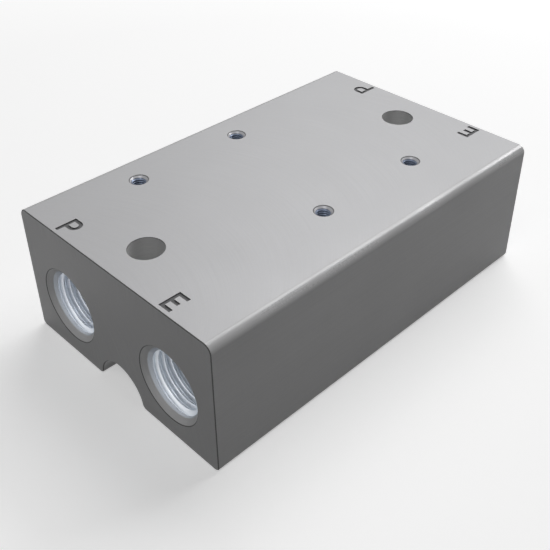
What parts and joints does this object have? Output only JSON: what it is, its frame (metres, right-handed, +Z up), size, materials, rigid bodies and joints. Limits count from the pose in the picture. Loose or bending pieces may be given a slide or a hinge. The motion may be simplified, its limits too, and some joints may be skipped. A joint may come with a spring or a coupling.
{
  "type": "valve manifold block",
  "caption": "Aluminium manifold block with through pressure and exhaust galleries, tapped end ports, small tapped outlets on top, mounting holes and a grooved underside",
  "frame": {"origin": "middle of the underside, on the plane of the two feet", "axes": "+Z up out of the valve face, +Y along the block from the end that faces the camera to the far end, +X across from the P side to the E side"},
  "size_m": [0.0526, 0.084, 0.0275],
  "materials": {
    "block_aluminium": "satin: milled top and end faces, extruded sides, edges and groove"
  },
  "bodies": {
    "root": {"manifold_block": "block_aluminium"}
  },
  "joints": []
}
